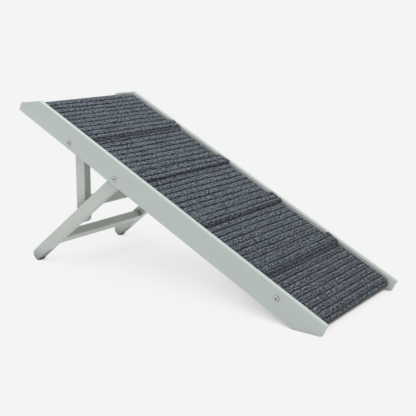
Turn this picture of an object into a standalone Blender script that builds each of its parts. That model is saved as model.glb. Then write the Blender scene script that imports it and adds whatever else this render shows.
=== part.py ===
"""Folding pet ramp: a carpeted deck between two side rails, on a folding leg frame and a brace frame.

Units are metres, +Z is up. +X runs down the ramp, towards its low end. +Y is the far side.
The origin is on the floor, at the middle of the ramp's length and width.
"""
import bisect
import math

import bmesh
import bpy
from mathutils import Matrix, Vector

# Side rails. The top edge is straight from the bend to the low end. Past the bend, the rail is cut
# off level, and at the low end its underside is cut off along the floor.
RAMP_ANGLE = math.radians(26.0)
RAIL_TOP_LENGTH = 1.040
RAIL_DEPTH = 0.067
RAIL_THICKNESS = 0.0127
RAIL_EDGE_ROUNDING = 0.0018
LANDING_RUN = 0.066
LANDING_DROP = 0.042
FLOOR_CUT_LENGTH = 0.070
OVERALL_WIDTH = 0.416

# Deck boards, housed in a groove in each rail.
CARPET_DEPTH = 0.0060
CARPET_CREST = 0.0057
CARPET_VALLEY = 0.0030
DECK_BOARD_THICKNESS = 0.0060
GROOVE_DEPTH = 0.0040
LANDING_BOARD_LENGTH = 0.0728
BOARD_EDGE_ROUNDING = 0.0008

# Cleats under the carpet, which give the pet its foothold.
CLEAT_COUNT = 4
CLEAT_PITCH = 0.2085
FIRST_CLEAT_FROM_BEND = 0.198
CLEAT_WIDTH = 0.033
CLEAT_HEIGHT = 0.0095
CLEAT_ROUNDING = 0.0040

# Ribbed carpet, wrapped over both ends of the deck. Each pitch holds a wide rib and a narrow one, with
# a deep groove before the pair and a shallow one between them. The profile gives, for shares of the
# pitch, how high the face stands between the deep groove, 0, and the crest, 1.
RIB_PITCH = 0.0201
FIRST_GROOVE_FROM_BEND = 0.0178
RIB_PROFILE = ((0.00, 0.00), (0.07, 0.62), (0.18, 0.90), (0.33, 1.00), (0.48, 0.88), (0.58, 0.48),
               (0.67, 0.80), (0.78, 0.92), (0.88, 0.80), (0.95, 0.45))
BUMP_POINTS = 9
UPHILL_SLOPE = 0.013
DOWNHILL_SLOPE = 0.0070
BUMP_SPREAD = 0.0020
BUMP_FLAT_MARGIN = 0.0010
TUCK_UNDER = 0.025
CARPET_SIDE_CLEARANCE = 0.0006
BARE_NOSE = 0.0050

# Nose rail, which closes the low end, and the cross batten that ties the rails there.
NOSE_LENGTH = 0.034
NOSE_HEIGHT = 0.0280
NOSE_RADIUS = 0.0163
NOSE_SETBACK = 0.0167
NOSE_REBATE = 0.0120
BATTEN_WIDTH = 0.030
BATTEN_THICKNESS = 0.014
BATTEN_TO_LOW_END = 0.139
RIDGE_BATTEN_HALF = 0.020
RIDGE_BATTEN_DEPTH = 0.020

# Leg frame, hinged on the rails and swung out towards the high end. A hinge's distance is measured
# from the bend, along the rail's top edge.
LEG_HINGE_DISTANCE = 0.337
PIVOT_FROM_LOWER_EDGE = 0.018
LEG_ANGLE = math.radians(39.5)
LEG_WIDTH = 0.033
FRAME_THICKNESS = 0.025
LEG_CROSSBAR_HEIGHT = 0.036
LEG_CROSSBAR_THICKNESS = 0.024
LEG_CROSSBAR_FROM_PIVOT = 0.328
FOOT_PAD_THICKNESS = 0.0020
FOOT_PAD_START = math.radians(-108.0)
FOOT_PAD_END = math.radians(-52.0)
FRAME_EDGE_ROUNDING = 0.0015

# Brace frame, which hangs plumb from the rails, its forked ends seated on pins in the legs.
BRACE_HINGE_DISTANCE = 0.150
POST_WIDTH = 0.034
BRACE_CROSSBAR_HEIGHT = 0.031
BRACE_CROSSBAR_THICKNESS = 0.024
BRACE_CROSSBAR_ABOVE_PIN = 0.028
PIN_DIAMETER = 0.0080
PIN_EMBED = 0.0140
PIN_REACH = 0.0240
FORK_CLEARANCE = 0.0005
FORK_FLARE = math.radians(6.0)

# Hardware.
WASHER_THICKNESS = 0.0006
WASHER_DIAMETER = 0.020
SLEEVE_DIAMETER = 0.018
FRAME_GAP = 0.0015
BOLT_DIAMETER = 0.0060
BOLT_HEAD_DIAMETER = 0.0155
BOLT_HEAD_HEIGHT = 0.0032
SOCKET_DIAMETER = 0.0046
SOCKET_DEPTH = 0.0018
INSERT_DIAMETER = 0.0100
INSERT_LENGTH = 0.0130
BARREL_DIAMETER = 0.0100
BARREL_LENGTH = 0.0115
BARREL_FROM_END = 0.020
DOWEL_DIAMETER = 0.0080
DOWEL_LENGTH = 0.0300
DOWEL_SPACING = 0.0160

# Fits and mesh detail.
CLEARANCE = 0.0003
CUTTER_OVERRUN = 0.0020
ROUND_STEPS = 20
DOME_STEPS = 4
ARC_STEP = math.radians(10.0)

# Worked out from the sizes above. Along and across values follow the rail: along from the bend,
# positive down the ramp, and deep from the rail's top edge.
PIVOT_DEPTH = RAIL_DEPTH - PIVOT_FROM_LOWER_EDGE
BOARD_DEPTH = CARPET_DEPTH + CARPET_CREST + CLEARANCE
BOARD_UNDERSIDE = BOARD_DEPTH + DECK_BOARD_THICKNESS
BEND_ANGLE = math.atan2(LANDING_DROP, LANDING_RUN)
INNER_WIDTH = OVERALL_WIDTH - 2 * RAIL_THICKNESS
LEG_FRAME_WIDTH = INNER_WIDTH - 2 * (WASHER_THICKNESS + 2 * CLEARANCE)
BRACE_FRAME_WIDTH = LEG_FRAME_WIDTH - 2 * (FRAME_THICKNESS + FRAME_GAP)
LOWER_EDGE_END = RAIL_TOP_LENGTH - FLOOR_CUT_LENGTH
NOSE_FRONT = RAIL_TOP_LENGTH - NOSE_SETBACK
NOSE_BACK = NOSE_FRONT - NOSE_LENGTH
NOSE_UNDERSIDE = BOARD_DEPTH + NOSE_HEIGHT
DECK_BOARD_END = NOSE_BACK + NOSE_REBATE
BATTEN_DISTANCE = RAIL_TOP_LENGTH - BATTEN_TO_LOW_END
BATTEN_BOLT_DEPTH = BOARD_UNDERSIDE + CLEARANCE + BATTEN_THICKNESS / 2
BUMP_HEIGHT = CLEAT_HEIGHT + CLEARANCE
BUMP_FLAT_HALF = CLEAT_WIDTH / 2 - BUMP_FLAT_MARGIN


def rail_to_world_offset(along, deep):
    """Offset from the bend's top corner to a point on the rail, in the world's X and Z."""
    return Vector((along * math.cos(RAMP_ANGLE) - deep * math.sin(RAMP_ANGLE),
                   0.0,
                   -along * math.sin(RAMP_ANGLE) - deep * math.cos(RAMP_ANGLE)))


BEND_HEIGHT = -rail_to_world_offset(LOWER_EDGE_END, RAIL_DEPTH).z
HIGH_END_X = rail_to_world_offset(-LANDING_RUN, RAIL_DEPTH).x
LOW_END_X = rail_to_world_offset(RAIL_TOP_LENGTH, 0.0).x
BEND_POINT = Vector((-(HIGH_END_X + LOW_END_X) / 2, 0.0, BEND_HEIGHT))
LEG_PIVOT = BEND_POINT + rail_to_world_offset(LEG_HINGE_DISTANCE, PIVOT_DEPTH)
BRACE_PIVOT = BEND_POINT + rail_to_world_offset(BRACE_HINGE_DISTANCE, PIVOT_DEPTH)
FOOT_RADIUS = LEG_WIDTH / 2
FOOT_CENTRE_HEIGHT = FOOT_RADIUS + CLEARANCE + FOOT_PAD_THICKNESS
LEG_REACH = (LEG_PIVOT.z - FOOT_CENTRE_HEIGHT) / math.sin(LEG_ANGLE)
PIN_FROM_LEG_PIVOT = (LEG_PIVOT.x - BRACE_PIVOT.x) / math.cos(LEG_ANGLE)
POST_REACH = BRACE_PIVOT.z - (LEG_PIVOT.z - PIN_FROM_LEG_PIVOT * math.sin(LEG_ANGLE))
LEG_TURN = math.pi / 2 - LEG_ANGLE


def start_collections():
    """Empty the scene and make one collection for the ramp and one for its cutting tools."""
    for old in list(bpy.data.objects):
        bpy.data.objects.remove(old, do_unlink=True)
    ramp = bpy.data.collections.new("pet_ramp")
    cutters = bpy.data.collections.new("cutters")
    for collection in (ramp, cutters):
        bpy.context.scene.collection.children.link(collection)
    cutters.hide_render = True
    return ramp, cutters


def make_material(name, colour, roughness, metallic=0.0):
    """A plain surface with the part's own colour, roughness and metallic value."""
    material = bpy.data.materials.new(name)
    material.use_nodes = True
    shader = material.node_tree.nodes["Principled BSDF"]
    shader.inputs["Base Color"].default_value = (*colour, 1.0)
    shader.inputs["Roughness"].default_value = roughness
    shader.inputs["Metallic"].default_value = metallic
    material.diffuse_color = (*colour, 1.0)
    return material


def make_anchor(name, location, turn):
    """An empty that carries pieces, turned about the Y axis."""
    anchor = bpy.data.objects.new(name, None)
    anchor.location = location
    anchor.rotation_euler = (0.0, turn, 0.0)
    anchor.empty_display_size = 0.03
    RAMP.objects.link(anchor)
    return anchor


def add_object(name, mesh, anchor, material, offset=(0.0, 0.0, 0.0)):
    """Put a mesh into the ramp's collection, under its anchor."""
    piece = bpy.data.objects.new(name, mesh)
    piece.parent = anchor
    piece.location = offset
    piece.data.materials.clear()
    piece.data.materials.append(material)
    RAMP.objects.link(piece)
    return piece


def add_cutter(name, mesh, anchor, offset=(0.0, 0.0, 0.0)):
    """Put a mesh into the cutters' collection, under the anchor of the piece that it cuts."""
    cutter = bpy.data.objects.new(name, mesh)
    cutter.parent = anchor
    cutter.location = offset
    cutter.display_type = "WIRE"
    CUTTERS.objects.link(cutter)
    return cutter


def cut(piece, cutter):
    """Take the cutter's shape out of the piece."""
    difference = piece.modifiers.new("cut_" + cutter.name, "BOOLEAN")
    difference.operation = "DIFFERENCE"
    difference.solver = "EXACT"
    difference.object = cutter


def round_edges(piece, radius, segments=2, angle=math.radians(35.0)):
    """Ease the piece's sharp edges."""
    bevel = piece.modifiers.new("rounded_edges", "BEVEL")
    bevel.width = radius
    bevel.segments = segments
    bevel.limit_method = "ANGLE"
    bevel.angle_limit = angle
    bevel.use_clamp_overlap = True


def smooth(mesh, angle=math.radians(35.0)):
    """Shade curved faces smooth and keep true edges sharp."""
    mesh.shade_smooth()
    mesh.set_sharp_from_angle(angle=angle)


def plate_mesh(name, outline, thickness):
    """A flat board: an outline of along and up values, filled, and as thick as given across Y."""
    curve = bpy.data.curves.new(name, "CURVE")
    curve.dimensions = "2D"
    curve.fill_mode = "BOTH"
    curve.extrude = thickness / 2
    spline = curve.splines.new("POLY")
    spline.points.add(len(outline) - 1)
    for point, (along, up) in zip(spline.points, outline):
        point.co = (along, up, 0.0, 1.0)
    spline.use_cyclic_u = True
    holder = bpy.data.objects.new(name, curve)
    bpy.context.scene.collection.objects.link(holder)
    bpy.context.view_layer.update()
    evaluated = holder.evaluated_get(bpy.context.evaluated_depsgraph_get())
    mesh = bpy.data.meshes.new_from_object(evaluated)
    bpy.data.objects.remove(holder, do_unlink=True)
    solid = bmesh.new()
    solid.from_mesh(mesh)
    bmesh.ops.remove_doubles(solid, verts=solid.verts, dist=1e-6)
    bmesh.ops.dissolve_limit(solid, angle_limit=math.radians(0.2), verts=solid.verts, edges=solid.edges)
    bmesh.ops.rotate(solid, verts=solid.verts, matrix=Matrix.Rotation(math.pi / 2, 3, "X"))
    bmesh.ops.recalc_face_normals(solid, faces=solid.faces)
    solid.to_mesh(mesh)
    solid.free()
    return mesh


def box_mesh(name, size):
    """A box of the given size about the origin."""
    mesh = bpy.data.meshes.new(name)
    solid = bmesh.new()
    bmesh.ops.create_cube(solid, size=1.0, matrix=Matrix.LocRotScale(None, None, size))
    solid.to_mesh(mesh)
    solid.free()
    return mesh


def rod_mesh(name, diameter, length, along_y=True, steps=ROUND_STEPS):
    """A round rod about the origin, lying along Y or standing along Z."""
    mesh = bpy.data.meshes.new(name)
    solid = bmesh.new()
    bmesh.ops.create_cone(solid, cap_ends=True, segments=steps, radius1=diameter / 2,
                          radius2=diameter / 2, depth=length)
    if along_y:
        bmesh.ops.rotate(solid, verts=solid.verts, matrix=Matrix.Rotation(math.pi / 2, 3, "X"))
    solid.to_mesh(mesh)
    solid.free()
    smooth(mesh)
    return mesh


def turned_piece(name, profile, anchor, material, offset, outwards):
    """A turned piece about Y: the profile holds (radius, distance along the axis) points, read from
    its outer end. The outer end points to the far side where outwards is 1 and to the near side
    where it is -1.
    """
    mesh = bpy.data.meshes.new(name)
    wire = bmesh.new()
    rings = [wire.verts.new((radius, 0.0, height)) for radius, height in profile]
    closed = profile[0][0] > 0.0
    for first, second in zip(rings, rings[1:]):
        wire.edges.new((first, second))
    if closed:
        wire.edges.new((rings[-1], rings[0]))
    wire.to_mesh(mesh)
    wire.free()
    piece = add_object(name, mesh, anchor, material, offset)
    piece.rotation_euler = (-outwards * math.pi / 2, 0.0, 0.0)
    screw = piece.modifiers.new("turned", "SCREW")
    screw.axis = "Z"
    screw.angle = 2 * math.pi
    screw.steps = ROUND_STEPS
    screw.render_steps = ROUND_STEPS
    screw.use_merge_vertices = True
    screw.merge_threshold = 1e-5
    screw.use_smooth_shade = True
    return piece


def arc_points(centre, radius, start, end):
    """Points along an arc, its ends included."""
    count = max(2, math.ceil(abs(end - start) / ARC_STEP) + 1)
    turns = [start + (end - start) * index / (count - 1) for index in range(count)]
    return [(centre[0] + radius * math.cos(turn), centre[1] + radius * math.sin(turn)) for turn in turns]


def on_rail(along, deep):
    """A point on the rail as along and up values of the rail's own anchor."""
    return (along, -deep)


def on_landing(inward, deep):
    """A point on the level part past the bend: inward from the bend's corner, along the level cut, and
    deep below that cut."""
    along = -inward * math.cos(BEND_ANGLE) + deep * math.sin(BEND_ANGLE)
    return on_rail(along, inward * math.sin(BEND_ANGLE) + deep * math.cos(BEND_ANGLE))


def bend_corner(deep):
    """Where the sloped and the level planes meet, at one depth below the rail's top edge."""
    return on_rail(deep * math.tan(BEND_ANGLE / 2), deep)


def deck_section(top, underside, low_end, landing_end):
    """Outline of both deck boards, and of the groove that houses them."""
    return [bend_corner(top), on_rail(low_end, top), on_rail(low_end, underside), bend_corner(underside),
            on_landing(landing_end, underside), on_landing(landing_end, top)]


def build_side_rails():
    """Both side rails, with the groove for the deck boards and the bolts' holes."""
    outline = [on_rail(0.0, 0.0),
               on_rail(RAIL_TOP_LENGTH, 0.0),
               on_rail(RAIL_TOP_LENGTH, RAIL_DEPTH - FLOOR_CUT_LENGTH * math.tan(RAMP_ANGLE)),
               on_rail(LOWER_EDGE_END, RAIL_DEPTH),
               on_rail(-LANDING_RUN, RAIL_DEPTH),
               on_rail(-LANDING_RUN, LANDING_DROP)]
    groove = deck_section(BOARD_DEPTH - CLEARANCE, BOARD_UNDERSIDE + CLEARANCE,
                          DECK_BOARD_END + CLEARANCE, LANDING_BOARD_LENGTH + CLEARANCE)
    holes = (LEG_HINGE_DISTANCE, PIVOT_DEPTH), (BRACE_HINGE_DISTANCE, PIVOT_DEPTH), (BATTEN_DISTANCE, BATTEN_BOLT_DEPTH)
    for side, sign in SIDES:
        middle = sign * (OVERALL_WIDTH - RAIL_THICKNESS) / 2
        rail = add_object(side + "_side_rail", plate_mesh("side_rail", outline, RAIL_THICKNESS),
                          DECK, PAINT, (0.0, middle, 0.0))
        round_edges(rail, RAIL_EDGE_ROUNDING)
        groove_width = GROOVE_DEPTH + CUTTER_OVERRUN
        groove_middle = sign * (INNER_WIDTH / 2 + GROOVE_DEPTH - groove_width / 2)
        cut(rail, add_cutter(side + "_groove", plate_mesh("groove", groove, groove_width), DECK,
                             (0.0, groove_middle, 0.0)))
        for number, (along, deep) in enumerate(holes, 1):
            bore = rod_mesh("rail_hole", BOLT_DIAMETER + 2 * CLEARANCE, RAIL_THICKNESS + 2 * CUTTER_OVERRUN)
            cut(rail, add_cutter(f"{side}_rail_hole_{number}", bore, DECK, (along, middle, -deep)))


def build_deck_boards():
    """The sloped deck board and the level landing board, mitred where they meet at the bend."""
    width = INNER_WIDTH + 2 * (GROOVE_DEPTH - CLEARANCE)
    half_joint = CLEARANCE / 2
    top_corner = bend_corner(BOARD_DEPTH)
    lower_corner = bend_corner(BOARD_UNDERSIDE)
    sloped = [(top_corner[0] + half_joint, top_corner[1]),
              on_rail(DECK_BOARD_END, BOARD_DEPTH),
              on_rail(DECK_BOARD_END, BOARD_UNDERSIDE),
              (lower_corner[0] + half_joint, lower_corner[1])]
    level = [(top_corner[0] - half_joint, top_corner[1]),
             (lower_corner[0] - half_joint, lower_corner[1]),
             on_landing(LANDING_BOARD_LENGTH, BOARD_UNDERSIDE),
             on_landing(LANDING_BOARD_LENGTH, BOARD_DEPTH)]
    add_object("deck_board", plate_mesh("deck_board", sloped, width), DECK, PLYWOOD)
    add_object("landing_board", plate_mesh("landing_board", level, width), DECK, PLYWOOD)


def build_cleats():
    """The cross cleats that lie on the deck board, under the carpet."""
    length = INNER_WIDTH - 2 * CARPET_SIDE_CLEARANCE
    middle_depth = BOARD_DEPTH - CLEARANCE - CLEAT_HEIGHT / 2
    for number in range(CLEAT_COUNT):
        size = (CLEAT_WIDTH, length, CLEAT_HEIGHT)
        along = FIRST_CLEAT_FROM_BEND + number * CLEAT_PITCH
        cleat = add_object(f"tread_cleat_{number + 1}", box_mesh("tread_cleat", size), DECK, BARE_WOOD,
                           (along, 0.0, -middle_depth))
        upper_edges_weight(cleat.data)
        bevel = cleat.modifiers.new("rounded_top", "BEVEL")
        bevel.width = CLEAT_ROUNDING
        bevel.segments = 3
        bevel.limit_method = "WEIGHT"


def upper_edges_weight(mesh):
    """Mark the two long upper edges of a box, which are the ones to round."""
    weights = mesh.attributes.new("bevel_weight_edge", "FLOAT", "EDGE")
    top = max(vertex.co.z for vertex in mesh.vertices)
    for edge in mesh.edges:
        first, second = (mesh.vertices[index].co for index in edge.vertices)
        lengthwise = abs(first.y - second.y) > abs(first.x - second.x)
        upper = min(first.z, second.z) > top - 1e-5
        weights.data[edge.index].value = 1.0 if lengthwise and upper else 0.0


def bump_line(centre, height, upright):
    """The carpet's line over one cleat: up its uphill side, over its flat top and down its steep lower
    side. Height is measured from the carpet's back, and the top grows wider with it."""
    level = BOARD_DEPTH - CLEARANCE - height
    half = BUMP_FLAT_HALF + BUMP_SPREAD * height / CARPET_CREST
    line = []
    for slope, side in ((UPHILL_SLOPE, -1), (DOWNHILL_SLOPE, 1)):
        flank = []
        for index in range(BUMP_POINTS + 1):
            share = index / BUMP_POINTS
            rise = BUMP_HEIGHT * (1 + math.cos(math.pi * share)) / 2
            steepness = -side * math.pi * BUMP_HEIGHT * math.sin(math.pi * share) / (2 * slope)
            place = on_rail(centre + side * (half + slope * share), level - rise)
            flank.append((place, upright + math.atan(steepness)))
        line += flank if side > 0 else flank[::-1]
    return line


def corner_line(corner, height, heading, turned):
    """The carpet's line round a sharp corner of its back: an arc as far out as the height asks."""
    turns = even_turns(turned) if height > 0 else [turned / 2]
    return [((corner[0] + height * math.cos(heading - turn), corner[1] + height * math.sin(heading - turn)),
             heading - turn) for turn in turns]


def carpet_line(height):
    """A line through the carpet at one height above its back, as places with the direction that the face
    looks there. It runs from the tucked end under the landing, over the landing and down the deck and
    its cleats, to the front of the nose rail.
    """
    level = BOARD_DEPTH - CLEARANCE
    tucked = BOARD_UNDERSIDE + CLEARANCE
    end = LANDING_BOARD_LENGTH + CLEARANCE
    down = -math.pi / 2 + BEND_ANGLE
    upright = math.pi / 2
    line = [(on_landing(LANDING_BOARD_LENGTH - TUCK_UNDER, tucked + height), down)]
    line += corner_line(on_landing(end, tucked), height, down, math.pi / 2)
    line += corner_line(on_landing(end, level), height, down - math.pi / 2, math.pi / 2)
    line += corner_line(bend_corner(level), height, upright + BEND_ANGLE - 2 * math.pi, BEND_ANGLE)
    for number in range(CLEAT_COUNT):
        line += bump_line(FIRST_CLEAT_FROM_BEND + number * CLEAT_PITCH, height, upright - 2 * math.pi)
    nose_centre = on_rail(NOSE_FRONT - NOSE_RADIUS, BOARD_DEPTH + NOSE_RADIUS)
    line += corner_line(nose_centre, NOSE_RADIUS + CLEARANCE + height, upright - 2 * math.pi, math.pi / 2)
    line.append((on_rail(NOSE_FRONT + CLEARANCE + height, NOSE_UNDERSIDE - BARE_NOSE), -2 * math.pi))
    return line


def even_turns(total):
    """Even steps of a turn, from nothing to its whole."""
    count = max(2, math.ceil(total / ARC_STEP))
    return [total * index / count for index in range(count + 1)]


def line_lengths(line):
    """How far along the line each of its places lies."""
    lengths = [0.0]
    for (first, _), (second, _) in zip(line, line[1:]):
        lengths.append(lengths[-1] + math.dist(first, second))
    return lengths


def station_at(line, lengths, target):
    """The place and the face's direction at one length along the line."""
    segment = max(0, min(bisect.bisect_right(lengths, target), len(line) - 1) - 1)
    share = (target - lengths[segment]) / (lengths[segment + 1] - lengths[segment])
    (first, first_heading), (second, second_heading) = line[segment], line[segment + 1]
    return Vector(first).lerp(Vector(second), share), first_heading + (second_heading - first_heading) * share


def rib_stations(line, lengths):
    """Lengths along the crest line, with the height share that the ribs have there. A deep groove lies
    at the first groove's distance from the bend, and the ribs run on from it both ways."""
    level = BOARD_DEPTH - CLEARANCE - CARPET_CREST
    first_groove = Vector(on_rail(FIRST_GROOVE_FROM_BEND, level))
    corner = Vector(bend_corner(level))
    bend_index = min(range(len(line)), key=lambda index: (Vector(line[index][0]) - corner).length)
    origin = lengths[bend_index] + (first_groove - Vector(line[bend_index][0])).length
    before = math.ceil(origin / RIB_PITCH)
    after = math.ceil((lengths[-1] - origin) / RIB_PITCH)
    stations = []
    for number in range(-before, after + 1):
        for share, height in RIB_PROFILE:
            target = origin + (number + share) * RIB_PITCH
            if 0.0 <= target <= lengths[-1]:
                stations.append((target, height))
    return stations


def build_carpet():
    """The ribbed carpet: its back follows the deck, and its face rises and falls with the ribs."""
    line = carpet_line(CARPET_CREST)
    lengths = line_lengths(line)
    face = []
    for target, height in rib_stations(line, lengths):
        place, heading = station_at(line, lengths, target)
        sunk = (CARPET_CREST - CARPET_VALLEY) * (1 - height)
        face.append((place.x - sunk * math.cos(heading), place.y - sunk * math.sin(heading)))
    outline = [place for place, _ in carpet_line(0.0)] + face[::-1]
    carpet = add_object("carpet", plate_mesh("carpet", outline, INNER_WIDTH - 2 * CARPET_SIDE_CLEARANCE),
                        DECK, CARPET)
    smooth(carpet.data)


def build_nose_rail():
    """The nose rail: rebated for the deck board's end, with a rounded front."""
    rebate = BOARD_UNDERSIDE + CLEARANCE
    shoulder = DECK_BOARD_END + CLEARANCE
    centre = on_rail(NOSE_FRONT - NOSE_RADIUS, BOARD_DEPTH + NOSE_RADIUS)
    outline = [on_rail(NOSE_BACK, rebate), on_rail(shoulder, rebate), on_rail(shoulder, BOARD_DEPTH)]
    outline += arc_points(centre, NOSE_RADIUS, math.pi / 2, 0.0)
    outline += [on_rail(NOSE_FRONT, NOSE_UNDERSIDE), on_rail(NOSE_BACK, NOSE_UNDERSIDE)]
    mesh = plate_mesh("nose_rail", outline, INNER_WIDTH - 2 * CLEARANCE)
    smooth(mesh)
    add_object("nose_rail", mesh, DECK, BARE_WOOD)


def build_ridge_batten():
    """The batten under the bend, with one face to each deck board."""
    top = BOARD_UNDERSIDE + CLEARANCE
    lower = BOARD_UNDERSIDE + RIDGE_BATTEN_DEPTH
    corner = bend_corner(top)
    left = on_landing(RIDGE_BATTEN_HALF, top)
    right = on_rail(corner[0] + RIDGE_BATTEN_HALF, top)
    outline = [corner, right, (right[0], -lower), (left[0], -lower), left]
    batten = add_object("ridge_batten", plate_mesh("ridge_batten", outline, INNER_WIDTH - 2 * CLEARANCE),
                        DECK, PAINT)
    round_edges(batten, BOARD_EDGE_ROUNDING, 1, math.radians(60.0))


def build_low_batten():
    """The cross batten near the low end, held at each end by a bolt and a barrel nut."""
    length = INNER_WIDTH - 2 * CLEARANCE
    batten = add_object("low_cross_batten", box_mesh("low_cross_batten", (BATTEN_WIDTH, length, BATTEN_THICKNESS)),
                        DECK, PAINT, (BATTEN_DISTANCE, 0.0, -BATTEN_BOLT_DEPTH))
    round_edges(batten, FRAME_EDGE_ROUNDING)
    bore_length = BARREL_FROM_END + BARREL_DIAMETER + CUTTER_OVERRUN
    socket_depth = BATTEN_THICKNESS / 2 + BARREL_LENGTH / 2 + CLEARANCE
    for side, sign in SIDES:
        end = sign * length / 2
        bore = rod_mesh("batten_bore", BOLT_DIAMETER + 2 * CLEARANCE, bore_length)
        cut(batten, add_cutter(side + "_batten_bore", bore, DECK,
                               (BATTEN_DISTANCE, end + sign * (CUTTER_OVERRUN - bore_length / 2), -BATTEN_BOLT_DEPTH)))
        socket = rod_mesh("barrel_socket", BARREL_DIAMETER + 2 * CLEARANCE, socket_depth + CUTTER_OVERRUN, False)
        socket_middle = BATTEN_BOLT_DEPTH + BATTEN_THICKNESS / 2 + (CUTTER_OVERRUN - socket_depth) / 2
        barrel_y = end - sign * BARREL_FROM_END
        cut(batten, add_cutter(side + "_barrel_socket", socket, DECK, (BATTEN_DISTANCE, barrel_y, -socket_middle)))
        nut = add_object(side + "_barrel_nut", rod_mesh("barrel_nut", BARREL_DIAMETER, BARREL_LENGTH, False), DECK,
                         STEEL, (BATTEN_DISTANCE, barrel_y, -BATTEN_BOLT_DEPTH))
        thread = rod_mesh("barrel_thread", BOLT_DIAMETER + 2 * CLEARANCE, BARREL_DIAMETER + 2 * CUTTER_OVERRUN)
        cut(nut, add_cutter(side + "_barrel_thread", thread, DECK, (BATTEN_DISTANCE, barrel_y, -BATTEN_BOLT_DEPTH)))
        build_bolt(side + "_batten_bolt", sign, DECK, (BATTEN_DISTANCE, -BATTEN_BOLT_DEPTH),
                   RAIL_THICKNESS + BARREL_FROM_END + BARREL_DIAMETER / 2)


def build_bolt(name, sign, anchor, place, length):
    """A round-headed bolt with a socket, driven in from the outer face of a rail. Place holds its along
    and up values, and length is measured under the head."""
    head = BOLT_HEAD_DIAMETER / 2
    shank = BOLT_DIAMETER / 2
    socket = SOCKET_DIAMETER / 2
    rim = math.acos(socket / head)
    socket_floor = BOLT_HEAD_HEIGHT * math.sin(rim) - SOCKET_DEPTH
    profile = [(0.0, socket_floor), (socket, socket_floor)]
    for index in range(DOME_STEPS + 1):
        turn = rim * (DOME_STEPS - index) / DOME_STEPS
        profile.append((head * math.cos(turn), BOLT_HEAD_HEIGHT * math.sin(turn)))
    profile += [(shank, 0.0), (shank, -length), (0.0, -length)]
    seat = sign * (OVERALL_WIDTH / 2 + CLEARANCE)
    return turned_piece(name, profile, anchor, STEEL, (place[0], seat, place[1]), sign)


def build_tube(name, outer, bore, length, anchor, material, offset, sign):
    """A plain tube, such as a washer, a spacer or a threaded insert, with its middle at the offset."""
    profile = [(outer / 2, length / 2), (outer / 2, -length / 2), (bore / 2, -length / 2), (bore / 2, length / 2)]
    return turned_piece(name, profile, anchor, material, offset, sign)


def bar_outline(reach, width):
    """A bar that hangs from its pivot, with both ends rounded about their own centres."""
    return (arc_points((0.0, 0.0), width / 2, 0.0, math.pi)
            + arc_points((0.0, -reach), width / 2, math.pi, 2 * math.pi))


def cut_pivot(piece, side, sign, anchor, outer_face):
    """Bore a leg or a post for its bolt, and for the threaded insert that opens on its inner face."""
    middle = outer_face - sign * FRAME_THICKNESS / 2
    bore = rod_mesh("pivot_bore", BOLT_DIAMETER + 2 * CLEARANCE, FRAME_THICKNESS + 2 * CUTTER_OVERRUN)
    cut(piece, add_cutter(piece.name + "_bore", bore, anchor, (0.0, middle, 0.0)))
    depth = INSERT_LENGTH + 2 * CLEARANCE
    socket = rod_mesh("insert_socket", INSERT_DIAMETER + 2 * CLEARANCE, depth + CUTTER_OVERRUN)
    inner_face = outer_face - sign * FRAME_THICKNESS
    cut(piece, add_cutter(piece.name + "_insert_socket", socket, anchor,
                          (0.0, inner_face + sign * (depth - CUTTER_OVERRUN) / 2, 0.0)))
    insert_middle = inner_face + sign * (CLEARANCE + INSERT_LENGTH / 2)
    build_tube(piece.name + "_insert", INSERT_DIAMETER, BOLT_DIAMETER + 2 * CLEARANCE, INSERT_LENGTH, anchor, STEEL,
               (0.0, insert_middle, 0.0), sign)


def dowel_joint(bar, crossbar, side, sign, anchor, inner_face, places):
    """Join a crossbar's end to its bar with hidden dowels, at the given along and up places."""
    for number, (along, up) in enumerate(places, 1):
        bore = rod_mesh("dowel_bore", DOWEL_DIAMETER + 2 * CLEARANCE, DOWEL_LENGTH + 2 * CLEARANCE, True, 12)
        cutter = add_cutter(f"{crossbar.name}_{side}_dowel_bore_{number}", bore, anchor, (along, inner_face, up))
        cut(bar, cutter)
        cut(crossbar, cutter)
        add_object(f"{crossbar.name}_{side}_dowel_{number}", rod_mesh("dowel", DOWEL_DIAMETER, DOWEL_LENGTH, True, 12),
                   anchor, BARE_WOOD, (along, inner_face, up))


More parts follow.
